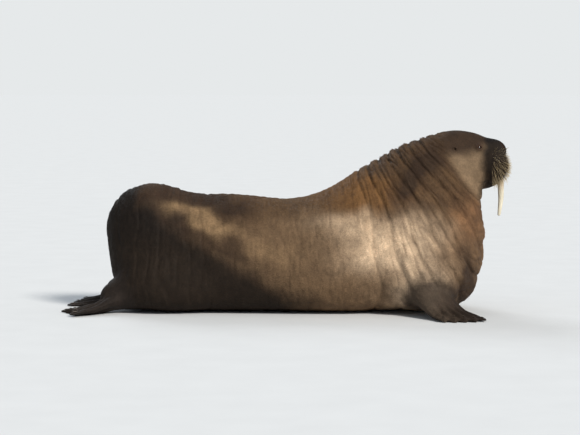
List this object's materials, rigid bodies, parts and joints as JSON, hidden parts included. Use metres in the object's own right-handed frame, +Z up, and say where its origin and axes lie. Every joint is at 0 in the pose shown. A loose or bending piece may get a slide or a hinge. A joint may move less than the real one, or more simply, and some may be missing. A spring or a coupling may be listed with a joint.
{
  "type": "walrus",
  "caption": "Life-size walrus resting on its belly with its head raised, short tusks pointing down and flippers flat on the ground.",
  "frame": {"origin": "on the floor, under the middle of the belly", "axes": "+X towards the head, +Y to the animal's left, +Z up"},
  "size_m": [3.2424, 1.6122, 1.2856],
  "materials": {
    "hide": "matt, short brown fur over wrinkled skin",
    "muzzle_hide": "matt, thick skin with stiff cream whiskers",
    "flipper_hide": "satin, bare wrinkled skin",
    "ivory": "satin, fine grooves along its length",
    "eye": "wet gloss"
  },
  "bodies": {
    "root": {"hindquarters": "hide", "torso": "hide", "neck": "hide", "head": "hide", "muzzle": "muzzle_hide", "lower_jaw": "muzzle_hide", "tail": "flipper_hide", "eye_right": "eye", "eye_left": "eye", "tusk_right": "ivory", "tusk_left": "ivory", "fore_flipper_right": "flipper_hide", "fore_flipper_left": "flipper_hide", "hind_flipper_right": "flipper_hide", "hind_flipper_left": "flipper_hide"}
  },
  "joints": []
}
